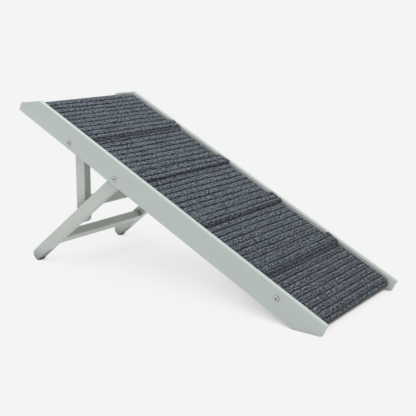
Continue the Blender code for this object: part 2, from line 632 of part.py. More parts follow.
def build_leg_frame():
    """Two legs and their crossbar, with pivot bolts, pins for the brace and rubber foot pads."""
    outline = bar_outline(LEG_REACH, LEG_WIDTH)
    crossbar_along = (LEG_WIDTH - LEG_CROSSBAR_THICKNESS) / 2
    crossbar_length = LEG_FRAME_WIDTH - 2 * FRAME_THICKNESS - 2 * CLEARANCE
    crossbar = add_object("leg_crossbar",
                          box_mesh("leg_crossbar", (LEG_CROSSBAR_THICKNESS, crossbar_length, LEG_CROSSBAR_HEIGHT)),
                          LEGS, PAINT, (crossbar_along, 0.0, -LEG_CROSSBAR_FROM_PIVOT))
    round_edges(crossbar, FRAME_EDGE_ROUNDING)
    for side, sign in SIDES:
        outer_face = sign * LEG_FRAME_WIDTH / 2
        inner_face = outer_face - sign * FRAME_THICKNESS
        middle = (outer_face + inner_face) / 2
        leg = add_object(side + "_leg", plate_mesh("leg", outline, FRAME_THICKNESS), LEGS, PAINT, (0.0, middle, 0.0))
        round_edges(leg, FRAME_EDGE_ROUNDING)
        cut_pivot(leg, side, sign, LEGS, outer_face)
        dowels = [(crossbar_along, -LEG_CROSSBAR_FROM_PIVOT + step * DOWEL_SPACING / 2) for step in (1, -1)]
        dowel_joint(leg, crossbar, side, sign, LEGS, inner_face, dowels)
        build_brace_pin(leg, side, sign, inner_face)
        build_foot_pad(side, middle)
        build_bolt(side + "_leg_bolt", sign, LEGS, (0.0, 0.0), (OVERALL_WIDTH - LEG_FRAME_WIDTH) / 2 + FRAME_THICKNESS
                   - 2 * CLEARANCE)
        washer_y = sign * (INNER_WIDTH + LEG_FRAME_WIDTH) / 4
        build_tube(side + "_leg_washer", WASHER_DIAMETER, BOLT_DIAMETER + 2 * CLEARANCE, WASHER_THICKNESS, LEGS, NYLON,
                   (0.0, washer_y, 0.0), sign)


def build_brace_pin(leg, side, sign, inner_face):
    """The steel pin set in the leg's inner face, on which the brace's fork sits."""
    length = PIN_EMBED + PIN_REACH
    pin_middle = inner_face + sign * (PIN_EMBED - PIN_REACH) / 2
    bore_length = PIN_EMBED + CLEARANCE + CUTTER_OVERRUN
    bore_middle = inner_face + sign * (PIN_EMBED + CLEARANCE - CUTTER_OVERRUN) / 2
    bore = rod_mesh("pin_bore", PIN_DIAMETER + 2 * CLEARANCE, bore_length)
    cut(leg, add_cutter(side + "_pin_bore", bore, LEGS, (0.0, bore_middle, -PIN_FROM_LEG_PIVOT)))
    pin = add_object(side + "_brace_pin", rod_mesh("brace_pin", PIN_DIAMETER, length), LEGS, STEEL,
                     (0.0, pin_middle, -PIN_FROM_LEG_PIVOT))
    round_edges(pin, BOARD_EDGE_ROUNDING, 1, math.radians(60.0))


def build_foot_pad(side, middle):
    """The rubber pad on the rounded foot, where the foot meets the floor."""
    inner = FOOT_RADIUS + CLEARANCE
    outer = inner + FOOT_PAD_THICKNESS
    start = FOOT_PAD_START + LEG_TURN
    end = FOOT_PAD_END + LEG_TURN
    outline = arc_points((0.0, 0.0), outer, start, end) + arc_points((0.0, 0.0), inner, end, start)
    mesh = plate_mesh("foot_pad", outline, FRAME_THICKNESS - 2 * FRAME_EDGE_ROUNDING)
    add_object(side + "_foot_pad", mesh, LEGS, RUBBER, (0.0, middle, -LEG_REACH))


def fork_outline():
    """The slot in a post's lower end: round about the pin, and flared to its open mouth."""
    radius = PIN_DIAMETER / 2 + FORK_CLEARANCE
    mouth = POST_WIDTH / 2 + CUTTER_OVERRUN
    flare = mouth * math.tan(FORK_FLARE)
    return arc_points((0.0, 0.0), radius, 0.0, math.pi) + [(-radius - flare, -mouth), (radius + flare, -mouth)]


def build_brace_frame():
    """Two forked posts and their crossbar, held off the rails by spacer sleeves."""
    outline = bar_outline(POST_REACH, POST_WIDTH)
    crossbar_along = (POST_WIDTH - BRACE_CROSSBAR_THICKNESS) / 2
    crossbar_up = -POST_REACH + BRACE_CROSSBAR_ABOVE_PIN + BRACE_CROSSBAR_HEIGHT / 2
    crossbar_length = BRACE_FRAME_WIDTH - 2 * FRAME_THICKNESS - 2 * CLEARANCE
    crossbar = add_object("brace_crossbar",
                          box_mesh("brace_crossbar",
                                   (BRACE_CROSSBAR_THICKNESS, crossbar_length, BRACE_CROSSBAR_HEIGHT)),
                          BRACE, PAINT, (crossbar_along, 0.0, crossbar_up))
    round_edges(crossbar, FRAME_EDGE_ROUNDING)
    for side, sign in SIDES:
        outer_face = sign * BRACE_FRAME_WIDTH / 2
        inner_face = outer_face - sign * FRAME_THICKNESS
        middle = (outer_face + inner_face) / 2
        post = add_object(side + "_brace_post", plate_mesh("brace_post", outline, FRAME_THICKNESS), BRACE, PAINT,
                          (0.0, middle, 0.0))
        round_edges(post, FRAME_EDGE_ROUNDING)
        fork = plate_mesh("fork", fork_outline(), FRAME_THICKNESS + 2 * CUTTER_OVERRUN)
        cut(post, add_cutter(side + "_fork", fork, BRACE, (0.0, middle, -POST_REACH)))
        cut_pivot(post, side, sign, BRACE, outer_face)
        dowels = [(crossbar_along, crossbar_up + step * DOWEL_SPACING / 2) for step in (1, -1)]
        dowel_joint(post, crossbar, side, sign, BRACE, inner_face, dowels)
        build_bolt(side + "_brace_bolt", sign, BRACE, (0.0, 0.0),
                   (OVERALL_WIDTH - BRACE_FRAME_WIDTH) / 2 + FRAME_THICKNESS - 2 * CLEARANCE)
        sleeve_length = (INNER_WIDTH - BRACE_FRAME_WIDTH) / 2 - 2 * CLEARANCE
        build_tube(side + "_brace_sleeve", SLEEVE_DIAMETER, BOLT_DIAMETER + 2 * CLEARANCE, sleeve_length, BRACE, NYLON,
                   (0.0, sign * (INNER_WIDTH + BRACE_FRAME_WIDTH) / 4, 0.0), sign)


SIDES = (("near", -1), ("far", 1))

RAMP, CUTTERS = start_collections()
PAINT = make_material("sage_grey_paint", (0.451, 0.496, 0.467), 0.50)
PLYWOOD = make_material("birch_plywood", (0.479, 0.342, 0.205), 0.65)
BARE_WOOD = make_material("bare_pine", (0.520, 0.400, 0.270), 0.65)
CARPET = make_material("ribbed_carpet", (0.089, 0.102, 0.119), 0.95)
RUBBER = make_material("black_rubber", (0.020, 0.020, 0.021), 0.80)
STEEL = make_material("zinc_plated_steel", (0.604, 0.604, 0.591), 0.30, 1.0)
NYLON = make_material("grey_nylon", (0.386, 0.397, 0.386), 0.50)
DECK = make_anchor("deck_frame", BEND_POINT, RAMP_ANGLE)
LEGS = make_anchor("leg_hinge", LEG_PIVOT, LEG_TURN)
BRACE = make_anchor("brace_hinge", BRACE_PIVOT, 0.0)

build_side_rails()
build_deck_boards()
build_cleats()
build_carpet()
build_nose_rail()
build_ridge_batten()
build_low_batten()
build_leg_frame()
build_brace_frame()
bpy.context.view_layer.update()

print("leg hinge", tuple(round(value, 6) for value in LEG_PIVOT))
print("brace hinge", tuple(round(value, 6) for value in BRACE_PIVOT))
print("leg fold, degrees", round(180 - math.degrees(RAMP_ANGLE) - math.degrees(LEG_ANGLE), 4))
print("brace fold, degrees", round(90 - math.degrees(RAMP_ANGLE), 4))
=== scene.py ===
"""Folding pet ramp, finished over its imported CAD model: ribbed carpet, bolts, staples, timber and hardware
finishes, and a plain studio.

Units are metres, in the CAD model's own frame: +X down the ramp, +Y to the far side, +Z up.
"""

import bisect
import math

import bmesh
import bpy
from mathutils import Matrix, Vector, noise


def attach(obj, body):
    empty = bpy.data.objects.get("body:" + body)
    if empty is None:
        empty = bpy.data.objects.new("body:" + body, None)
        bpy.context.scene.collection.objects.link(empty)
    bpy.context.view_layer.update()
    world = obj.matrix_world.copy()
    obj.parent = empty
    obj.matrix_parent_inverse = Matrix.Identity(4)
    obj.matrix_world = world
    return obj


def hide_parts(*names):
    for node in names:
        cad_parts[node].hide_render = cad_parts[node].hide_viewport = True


bl_info = {
    "name": "Folding Pet Ramp",
    "version": (1, 0, 0),
    "blender": (4, 5, 0),
    "location": "3D Viewport > Sidebar > Pet Ramp",
    "description": "Carpets and finishes a folding pet ramp over its CAD model",
    "category": "Object",
}

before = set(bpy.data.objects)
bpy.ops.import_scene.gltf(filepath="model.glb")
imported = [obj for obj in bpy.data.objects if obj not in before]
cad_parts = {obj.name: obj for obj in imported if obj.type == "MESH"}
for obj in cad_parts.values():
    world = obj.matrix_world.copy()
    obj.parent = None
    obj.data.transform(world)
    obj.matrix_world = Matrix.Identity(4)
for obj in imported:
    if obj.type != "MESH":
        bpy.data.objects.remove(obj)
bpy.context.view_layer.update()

SIDES = (("near", -1), ("far", 1))
QUARTER_TURN = math.pi / 2
MM = 0.001

# The deck's own frame: its origin is the top corner of the rails' bend, and its X axis runs down the
# rails' top edge. Along values are measured from the bend, and deep values from the top edge.
RAMP_ANGLE = math.radians(26.0)
RAIL_TOP_LENGTH = 1.040
RAIL_DEPTH = 0.067
LANDING_RUN = 0.066
LANDING_DROP = 0.042
FLOOR_CUT_LENGTH = 0.070
BEND_ANGLE = math.atan2(LANDING_DROP, LANDING_RUN)
BEND_HEIGHT = (RAIL_TOP_LENGTH - FLOOR_CUT_LENGTH) * math.sin(RAMP_ANGLE) + RAIL_DEPTH * math.cos(RAMP_ANGLE)
HIGH_END = -LANDING_RUN * math.cos(RAMP_ANGLE) - RAIL_DEPTH * math.sin(RAMP_ANGLE)
BEND_POINT = Vector((-(HIGH_END + RAIL_TOP_LENGTH * math.cos(RAMP_ANGLE)) / 2, 0.0, BEND_HEIGHT))
DECK_FRAME = Matrix.Translation(BEND_POINT) @ Matrix.Rotation(RAMP_ANGLE, 4, "Y")

# What lies under the carpet.
FIT = 0.3 * MM
BOARD_DEPTH = 12.0 * MM
BOARD_UNDERSIDE = 18.0 * MM
LANDING_BOARD_LENGTH = 72.8 * MM
CLEATS_ALONG = (0.198, 0.4065, 0.615, 0.8235)
BUMP_HEIGHT = 9.8 * MM
BUMP_FLAT_HALF = 15.5 * MM
BUMP_SPREAD = 2.0 * MM
UPHILL_SLOPE = 13.0 * MM
DOWNHILL_SLOPE = 7.0 * MM
NOSE_FRONT = 1.0233
NOSE_RADIUS = 16.3 * MM
NOSE_UNDERSIDE = 40.0 * MM
BARE_NOSE = 13.0 * MM
TUCK_UNDER = 25.0 * MM
CARPET_WIDTH = 0.3894

# Steps in which the carpet turns each edge, bends, climbs a cleat's side and rounds the nose.
EDGE_STEPS = 12
BEND_STEPS = 6
BUMP_STEPS = 14
NOSE_STEPS = 16

# Crests of a wide rib and a narrow one, and the crease between them: shares of the rib pitch, and heights
# from the deep groove, 0, to the wide rib's crest, 1. The crease is all but closed where the carpet is
# stretched over the high part of the deck, and opens between two lengths from the first groove.
WIDE_CREST = (0.34, 1.0)
NARROW_CREASE = 0.65
CREASE_HEIGHTS = (0.88, 0.34)
CREASE_OPENS = (0.62, 0.80)
NARROW_CREST = (0.82, 0.88)

# Unevenness of the ribs: sizes across and along the carpet, and a slice of the noise. Over a cleat the
# carpet is gathered or stretched, and at its ends it is held steady.
SLOW_WAVER = (0.075, 0.045, 3.7)
QUICK_WAVER = (0.022, 0.012, 9.1)
QUICK_WAVER_SHARE = 0.22
LUMPS = (0.016, 0.007, 21.3)
LUMP_DEPTH = 0.07
WEAR = (0.07, 0.025, 40.2)
WEAR_SHARE = 0.8
GROOVE_DEPTH = 0.95
GATHER_REACH = 60.0 * MM
STEADY_END = 15.0 * MM

# How far the carpet is pressed down along its cut sides, on a cleat and elsewhere, over what length it is
# pressed before its cut end, and to what share of its crest.
SIDE_PRESS_ON_CLEAT = 0.3
SIDE_PRESS = 0.9
PRESSED_END = 14.0 * MM
PRESSED_HEIGHT = 0.25

# The carpet's mesh: steps in which its points are looked for, the least space between two points, how
# much its steps crowd towards the sides, and the distance at which two points are one.
SEARCH_STEPS = 4000
LEAST_SPACE = 0.3 * MM
SIDE_CROWDING = 0.6
ONE_POINT = 0.02 * MM

# Where the six bolts sit: the CAD node's end of name, its body, its place on the near or far rail and
# the length under its head.
BOLTS = (("batten_bolt", "ramp_deck", (0.901, 25.3 * MM), 37.7 * MM),
         ("leg_bolt", "leg_frame", (0.337, 49.0 * MM), 38.1 * MM),
         ("brace_bolt", "brace_frame", (0.150, 49.0 * MM), 64.6 * MM))
RAIL_OUTER_FACE = 0.208

# A bolt's small sizes. The painted shade round the seat reaches up its head to a share of the dome.
DOME_STEPS = 10
BOLT_SIDES = 48
HEAD_EDGE = 0.15 * MM
SHANK_FILLET = 0.3 * MM
SHANK_CHAMFER = 0.7 * MM
SOCKET_RIM = 0.35 * MM
SOCKET_CHAMFER = 0.3 * MM
SOCKET_DEPTH = 1.3 * MM
SEAT_SHADE_SHARE = 0.55

# A staple's small sizes. Its crown presses into the carpet, and each staple slants by up to an angle.
STAPLE_WIRE = 0.6 * MM
STAPLE_LEG = 7.0 * MM
STAPLE_PRESS = 0.4 * MM
STAPLE_ROUNDING = 0.12 * MM
STAPLE_SLANT = 4.0

# Camera, fitted to the edges of the rails, legs and deck in the photograph.
CAMERA_PLACE = Vector((1.2827, -1.7518, 0.7132))
CAMERA_YAW = math.radians(35.75)
CAMERA_PITCH = math.radians(13.40)
CAMERA_ROLL = math.radians(0.59)
CAMERA_LENS = 68.23

# Soft lamps, each with its place and power in watts. All are of one size and look at the ramp's middle.
LAMPS = (("overhead_softbox", (0.1, 0.0, 2.6), 24.0),
         ("back_softbox", (-2.2, 1.4, 1.4), 12.0),
         ("front_softbox", (-1.5, -2.2, 1.5), 7.0))
LAMP_SIZE = 2.0
LAMP_AIM = Vector((0.0, 0.0, 0.2))
SKY_STRENGTH = 0.80

# The floor, just under the feet, and the shadow painted into its glow from what shuts off its light:
# first all that lies within arm's reach, seen the way that most of the light comes from in the
# photograph, and then what is close above. Each has its reach, the way it looks, what it leaves out,
# its power and its depth.
FLOOR_RADIUS = 9.0
FLOOR_HEIGHT = -0.4 * MM
FLOOR_SHADOWS = ((0.7, (0.2, -0.45, 0.87), 0.0, 3.0, -0.48),
                 (0.3, (0.0, 0.0, 1.0), 0.3, 4.0, -3.5))

# The painted finishes: name, nodes, colour, axis of the grain, turn of the piece about Y, the way that
# the faces look that are painted paler as painted light, how much paler they are painted, and how dark
# the painted shade lies in and near the joints.
LEG_TURN = math.radians(50.5)
UP_FROM_DECK = (math.sin(RAMP_ANGLE), 0.0, math.cos(RAMP_ANGLE))
TO_NEAR_SIDE = (0.0, -1.0, 0.0)
UNDER_LEG = (math.cos(LEG_TURN), 0.0, -math.sin(LEG_TURN))
PAINTWORK = (
    ("sage_lacquer_near_rail", ("near_side_rail",), "paint", 0, RAMP_ANGLE, UP_FROM_DECK, 0.3, 0.0),
    ("sage_lacquer_far_rail", ("far_side_rail",), "paint", 0, RAMP_ANGLE, TO_NEAR_SIDE, 0.42, 0.0),
    ("sage_lacquer_legs", ("near_leg", "far_leg"), "frame_paint", 2, LEG_TURN, UNDER_LEG, 0.85, 0.55),
    ("sage_lacquer_posts", ("near_brace_post", "far_brace_post"), "frame_paint", 2, 0.0, UNDER_LEG, 0.0, 0.55),
    ("sage_lacquer_crossbars", ("leg_crossbar", "brace_crossbar", "ridge_batten", "low_cross_batten"),
     "frame_paint", 1, 0.0, UNDER_LEG, 0.85, 0.45))


def linear(hex_colour):
    """A colour written as sRGB hex, as the linear values that a shader takes."""
    shares = [int(hex_colour[start:start + 2], 16) / 255 for start in (1, 3, 5)]
    return [share / 12.92 if share <= 0.04045 else ((share + 0.055) / 1.055) ** 2.4 for share in shares]


def opaque(colour):
    """A colour with its fourth value, which says that it isn't clear."""
    return (*colour, 1.0)


def clamp(value):
    """A value, kept between 0 and 1."""
    return min(max(value, 0.0), 1.0)


def set_inputs(tree, node, inputs):
    """Give a node's sockets their values, or links from other nodes' sockets."""
    for name, value in inputs.items():
        if isinstance(value, bpy.types.NodeSocket):
            tree.links.new(value, node.inputs[name])
        else:
            node.inputs[name].default_value = value


def add_node(tree, kind, inputs=None, stops=(), **settings):
    """Add a node to a tree. Inputs maps its sockets to values or to other nodes' sockets, and stops are
    a colour ramp's places and colours."""
    node = tree.nodes.new(kind)
    for name, value in settings.items():
        setattr(node, name, value)
    set_inputs(tree, node, inputs or {})
    for number, (place, colour) in enumerate(stops):
        elements = node.color_ramp.elements
        stop = elements[number] if number < 2 else elements.new(place)
        stop.position = place
        stop.color = colour
    return node


def empty_tree(owner):
    """The node tree of a material or a world, with nothing in it."""
    owner.use_nodes = True
    owner.node_tree.nodes.clear()
    return owner.node_tree


def start_material(name):
    """A material with an empty tree but for its shader, given with the tree."""
    material = bpy.data.materials.new(name)
    tree = empty_tree(material)
    shader = add_node(tree, "ShaderNodeBsdfPrincipled")
    add_node(tree, "ShaderNodeOutputMaterial", {"Surface": shader.outputs["BSDF"]})
    return material, tree, shader


def combine(tree, operation, *values):
    """The outcome of a sum, a product or the like."""
    return add_node(tree, "ShaderNodeMath", dict(enumerate(values)), operation=operation).outputs[0]


def remap(tree, value, low, high, start, end):
    """A value that runs from low to high, as one that runs from start to end."""
    return add_node(tree, "ShaderNodeMapRange", {"Value": value, "From Min": low, "From Max": high,
                                                 "To Min": start, "To Max": end}).outputs["Result"]


def likeness(tree, first, second):
    """How far two directions agree, from -1 to 1."""
    return add_node(tree, "ShaderNodeVectorMath", {0: first, 1: second},
                    operation="DOT_PRODUCT").outputs["Value"]


def facing(tree, way):
    """How far a face looks one way, from -1 to 1."""
    return likeness(tree, add_node(tree, "ShaderNodeTexCoord").outputs["Normal"], way)


def stretch(tree, place, grain, turn=0.0):
    """Coordinates in units of the grain's three real sizes, turned about Y."""
    return add_node(tree, "ShaderNodeMapping", {"Vector": place, "Rotation": (0.0, turn, 0.0), "Scale": grain},
                    vector_type="TEXTURE").outputs["Vector"]


def place_on(tree, grain, turn=0.0):
    """Coordinates on a piece, in units of the grain's three real sizes, turned about Y with the piece."""
    return stretch(tree, add_node(tree, "ShaderNodeTexCoord").outputs["Object"], grain, turn)


def grain_sizes(run, width, length):
    """The three sizes of a grain, which is long on the axis that it runs along."""
    return [length if axis == run else width for axis in range(3)]


def mottle(tree, place, detail, roughness=0.5, distortion=0.0, dimensions="3D"):
    """Soft spots of about one unit, from 0 to 1."""
    return add_node(tree, "ShaderNodeTexNoise",
                    {"Vector": place, "Scale": 1.0, "Detail": detail, "Roughness": roughness,
                     "Distortion": distortion}, noise_dimensions=dimensions).outputs["Fac"]


def mix_colours(tree, factor, first, second, blend="MIX"):
    """The two colours mixed by the factor."""
    return add_node(tree, "ShaderNodeMix", {0: factor, 6: first, 7: second},
                    data_type="RGBA", blend_type=blend).outputs[2]


def shaded(tree, colour, shade):
    """A colour made darker or brighter by a shade."""
    return mix_colours(tree, 1.0, colour, shade, "MULTIPLY")


def bump(tree, height, strength, depth, under=None):
    """The directions of a face with small heights on it, and on the bump under them."""
    inputs = {"Height": height, "Strength": strength, "Distance": depth}
    if under is not None:
        inputs["Normal"] = under
    return add_node(tree, "ShaderNodeBump", inputs).outputs["Normal"]


def painted_timber(name, paint, colours, run, turn, way, brightened, dust):
    """Solid softwood under two coats of sprayed satin lacquer. The paint is level and soft in its
    shine, and the wood's grain only just telegraphs through it. The eased edges are painted paler,
    partly as thinner paint and partly as painted highlight, and the joints are painted darker as painted
    shade. Run is the axis of the grain, before the turn about Y. The faces that look one way are painted
    paler by a given share, as painted light from the side that the light comes from. Dust is how dark the
    painted shade lies.
    """
    material, tree, shader = start_material(name)
    fibres = mottle(tree, place_on(tree, grain_sizes(run, 2.6 * MM, 110 * MM), turn), 3.0, 0.55)
    clouds = mottle(tree, place_on(tree, grain_sizes(run, 45 * MM, 240 * MM), turn), 2.0)
    tone = combine(tree, "ADD", fibres, clouds)
    level = shaded(tree, opaque(paint), remap(tree, tone, 0.6, 1.4, 0.965, 1.035))
    # The eased edges, painted paler as thinner paint and as painted highlight: where a wider rounding
    # would turn the surface from its true direction.
    eased = add_node(tree, "ShaderNodeBevel", {"Radius": 2.4 * MM}, samples=4).outputs["Normal"]
    surface = add_node(tree, "ShaderNodeNewGeometry").outputs["Normal"]
    edge = remap(tree, likeness(tree, eased, surface), 0.995, 0.90, 0.0, 0.45)
    # Painted light: the faces that look the given way are painted paler.
    handled = remap(tree, facing(tree, way), 0.55, 0.85, 0.0, brightened)
    bright = mix_colours(tree, combine(tree, "MAXIMUM", edge, handled), level, opaque(colours.highlight_paint))
    # Painted shade: darker in the joints, and less so up to a hand's width from the next piece.
    open_air = add_node(tree, "ShaderNodeAmbientOcclusion", {"Distance": 50 * MM}, samples=16).outputs["AO"]
    worn = shaded(tree, bright, remap(tree, open_air, 0.5, 0.95, 1.0 - dust, 1.0))
    # Orange peel from the spray gun, about a millimetre from dimple to dimple.
    peel = mottle(tree, place_on(tree, (1.2 * MM,) * 3, turn), 1.0)
    relief = bump(tree, peel, 0.15, 0.04 * MM, under=bump(tree, fibres, 0.35, 0.25 * MM))
    set_inputs(tree, shader, {"Base Color": worn, "Roughness": remap(tree, tone, 0.6, 1.4, 0.40, 0.52),
                              "IOR": 1.48, "Normal": relief})
    return material


def ribbed_carpet(colours):
    """Needle-punched polyester carpet, its ribs raised by forked needles. Mixed dark and pale fibres
    give a heathered blue-grey with a fuzzy crest. The colour is painted darker down in the grooves and
    paler up on the crests, where alone the pale flecks show: painted shade and painted light. A fibre is
    0.03 mm thick, so the flecks are drawn as tufts of 1.5 to 5 mm to show.
    """
    material, tree, shader = start_material("heathered_ribbed_carpet")
    weave = add_node(tree, "ShaderNodeUVMap", uv_map="carpet_flat").outputs["UV"]
    crest = add_node(tree, "ShaderNodeAttribute", attribute_name="crest_height").outputs["Fac"]

    def tufts(across, along, detail):
        return mottle(tree, stretch(tree, weave, (across, along, 1.0)), detail, 0.6, dimensions="2D")

    streaks = tufts(11.0 * MM, 3.2 * MM, 2.0)
    flecks = tufts(4.6 * MM, 3.0 * MM, 1.0)
    fuzz = tufts(1.6 * MM, 1.3 * MM, 2.0)
    worn = tufts(60 * MM, 40 * MM, 2.0)
    # Painted shade and painted light: the colour runs from dark in the grooves to the rib colour on the crests,
    # and the pale flecks show only on the crests.
    height = add_node(tree, "ShaderNodeValToRGB", {"Fac": crest},
                      stops=[(0.12, opaque(colours.carpet_groove_shade)), (0.80, opaque(colours.carpet_rib))])
    crest_lit_flecks = combine(tree, "MULTIPLY", remap(tree, flecks, 0.48, 0.57, 0.0, 1.0), crest)
    lit = mix_colours(tree, crest_lit_flecks, height.outputs["Color"], opaque(colours.carpet_pale))
    heather = mix_colours(tree, remap(tree, streaks, 0.53, 0.42, 0.0, 1.0), lit, opaque(colours.carpet_dark))
    evened = shaded(tree, heather, remap(tree, worn, 0.3, 0.7, 0.92, 1.08))
    # The sides that look down the ramp are painted darker, as painted shade from light that comes from the high
    # end.
    downhill = facing(tree, (math.cos(RAMP_ANGLE), 0.0, -math.sin(RAMP_ANGLE)))
    downhill_shaded = shaded(tree, evened, remap(tree, downhill, 0.05, 0.65, 1.01, 0.76))
    relief = bump(tree, fuzz, 0.8, 0.5 * MM, under=bump(tree, flecks, 1.0, 1.8 * MM))
    set_inputs(tree, shader, {"Base Color": downhill_shaded, "Roughness": 0.95, "IOR": 1.45, "Specular IOR Level": 0.2,
                              "Sheen Weight": 0.15, "Sheen Roughness": 0.5,
                              "Sheen Tint": (0.75, 0.80, 0.86, 1.0), "Normal": relief})
    return material


def bright_steel(name, colours, marks, roughness, shaded_seat=False):
    """Steel with a bright zinc plating. It is a clear pale metal with fine turning marks, a little
    duller where it has been handled. Marks is the spacing of the turning marks. On bolts with a shaded
    seat, the seat and the socket are painted dark as painted shade, where the piece is marked for it."""
    material, tree, shader = start_material(name)
    handled = mottle(tree, place_on(tree, (4 * MM,) * 3), 3.0)
    turned = mottle(tree, place_on(tree, (marks,) * 3), 2.0)
    colour = shaded(tree, opaque(colours.steel), remap(tree, handled, 0.35, 0.65, 0.94, 1.03))
    if shaded_seat:
        seat_socket_shade = add_node(tree, "ShaderNodeAttribute", attribute_name="seat_socket_shade").outputs["Fac"]
        colour = mix_colours(tree, seat_socket_shade, colour, opaque(colours.seat_shade_steel))
    gloss = remap(tree, handled, 0.3, 0.7, roughness, roughness + 0.12)
    set_inputs(tree, shader, {"Base Color": colour, "Metallic": 1.0, "Roughness": gloss,
                              "Normal": bump(tree, turned, 0.3, 0.03 * MM)})
    return material


def sawn_wood(name, pale, dark, ring_spacing, run, turn, roughness):
    """Bare planed wood. Its growth rings run as darker lines along the board, over finer pores, and
    its surface is dull. Ring spacing is the real distance between the lines."""
    material, tree, shader = start_material(name)
    broad = mottle(tree, place_on(tree, (60 * MM,) * 3, turn), 2.0)
    rings = mottle(tree, place_on(tree, grain_sizes(run, ring_spacing, ring_spacing * 30), turn), 2.0,
                   distortion=0.3)
    pores = mottle(tree, place_on(tree, grain_sizes(run, 0.5 * MM, 9 * MM), turn), 3.0)
    ringed = mix_colours(tree, remap(tree, rings, 0.46, 0.66, 0.0, 0.75), opaque(pale), opaque(dark))
    specked = shaded(tree, ringed, remap(tree, pores, 0.3, 0.7, 0.88, 1.08))
    toned = shaded(tree, specked, remap(tree, broad, 0.3, 0.7, 0.94, 1.05))
    set_inputs(tree, shader, {"Base Color": toned, "Roughness": roughness, "IOR": 1.45,
                              "Normal": bump(tree, pores, 0.5, 0.12 * MM)})
    return material


def moulded(name, colour, grit, depth, roughness, ior):
    """A moulded part, rubber or nylon, with the mould's fine grit on its face. Grit is the size of
    the texture, drawn no finer than it can show, and depth its height."""
    material, tree, shader = start_material(name)
    grains = mottle(tree, place_on(tree, (grit,) * 3), 2.0)
    scuffs = mottle(tree, place_on(tree, (7 * MM,) * 3), 3.0)
    toned = shaded(tree, opaque(colour), remap(tree, scuffs, 0.35, 0.7, 0.92, 1.12))
    gloss = remap(tree, scuffs, 0.3, 0.7, roughness - 0.06, roughness + 0.06)
    set_inputs(tree, shader, {"Base Color": toned, "Roughness": gloss, "IOR": ior,
                              "Normal": bump(tree, grains, 0.6, depth)})
    return material


def finish_nodes(names, material):
    """Give CAD nodes their finish."""
    for name in names:
        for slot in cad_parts[name].material_slots:
            slot.material = material


def nodes_ending(*ends):
    """The CAD nodes whose names have one of these ends."""
    return [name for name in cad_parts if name.endswith(ends)]


def add_object(name, data):
    """A new object in the scene, of a mesh, a lamp or a camera."""
    thing = bpy.data.objects.new(name, data)
    bpy.context.scene.collection.objects.link(thing)
    return thing


def make_mesh(name, solid, material):
    """Turn a finished bmesh into a mesh of one material."""
    mesh = bpy.data.meshes.new(name)
    solid.to_mesh(mesh)
    solid.free()
    mesh.materials.append(material)
    return mesh


def make_piece(name, solid, material, body, sharp=math.radians(40.0)):
    """Turn a finished bmesh into a piece that rides on one body. Edges over the sharp angle stay crisp."""
    if solid.calc_volume(signed=True) < 0:
        bmesh.ops.reverse_faces(solid, faces=solid.faces)
    mesh = make_mesh(name, solid, material)
    mesh.shade_smooth()
    mesh.set_sharp_from_angle(angle=sharp)
    piece = add_object(name, mesh)
    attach(piece, body)
    return piece


def on_rail(along, deep):
    """A place on the rail, in the deck's own X and Z."""
    return Vector((along, -deep))


def on_landing(inward, deep):
    """A place on the level part: inward from the bend's corner, and deep below the level cut."""
    return on_rail(-inward * math.cos(BEND_ANGLE) + deep * math.sin(BEND_ANGLE),
                   inward * math.sin(BEND_ANGLE) + deep * math.cos(BEND_ANGLE))


def bend_corner(deep):
    """Where the sloped and the level planes meet, at one depth."""
    return on_rail(deep * math.tan(BEND_ANGLE / 2), deep)


def turning_line(corner, radius, start, turned, steps):
    """Places on an arc round a corner of what the carpet lies on, clockwise from the start angle."""
    turns = [start - turned * index / steps for index in range(steps + 1)]
    return [corner + radius * Vector((math.cos(turn), math.sin(turn))) for turn in turns]


def bump_line(centre, height, share_of_height):
    """The carpet's line over one cleat, up its uphill side and down its steep lower side."""
    level = BOARD_DEPTH - FIT - height
    half = BUMP_FLAT_HALF + BUMP_SPREAD * share_of_height
    line = []
    for slope, side in ((UPHILL_SLOPE, -1), (DOWNHILL_SLOPE, 1)):
        flank = []
        for index in range(BUMP_STEPS + 1):
            share = index / BUMP_STEPS
            rise = BUMP_HEIGHT * (1 + math.cos(math.pi * share)) / 2
            flank.append(on_rail(centre + side * (half + slope * share), level - rise))
        line += flank if side > 0 else flank[::-1]
    return line


def carpet_line(height, crest):
    """A line through the carpet at one height above its back, from the tucked end under the landing
    to the front of the nose. Lines at any height have the same number of places."""
    level = BOARD_DEPTH - FIT
    tucked = BOARD_UNDERSIDE + FIT
    end = LANDING_BOARD_LENGTH + FIT
    down = BEND_ANGLE - QUARTER_TURN
    line = [on_landing(LANDING_BOARD_LENGTH - TUCK_UNDER, tucked + height)]
    line += turning_line(on_landing(end, tucked), height, down, QUARTER_TURN, EDGE_STEPS)
    line += turning_line(on_landing(end, level), height, down - QUARTER_TURN, QUARTER_TURN, EDGE_STEPS)
    line += turning_line(bend_corner(level), height, QUARTER_TURN + BEND_ANGLE, BEND_ANGLE, BEND_STEPS)
    for centre in CLEATS_ALONG:
        line += bump_line(centre, height, height / crest)
    nose_centre = on_rail(NOSE_FRONT - NOSE_RADIUS, BOARD_DEPTH + NOSE_RADIUS)
    line += turning_line(nose_centre, NOSE_RADIUS + FIT + height, QUARTER_TURN, QUARTER_TURN, NOSE_STEPS)
    line.append(on_rail(NOSE_FRONT + FIT + height, NOSE_UNDERSIDE - BARE_NOSE))
    return line


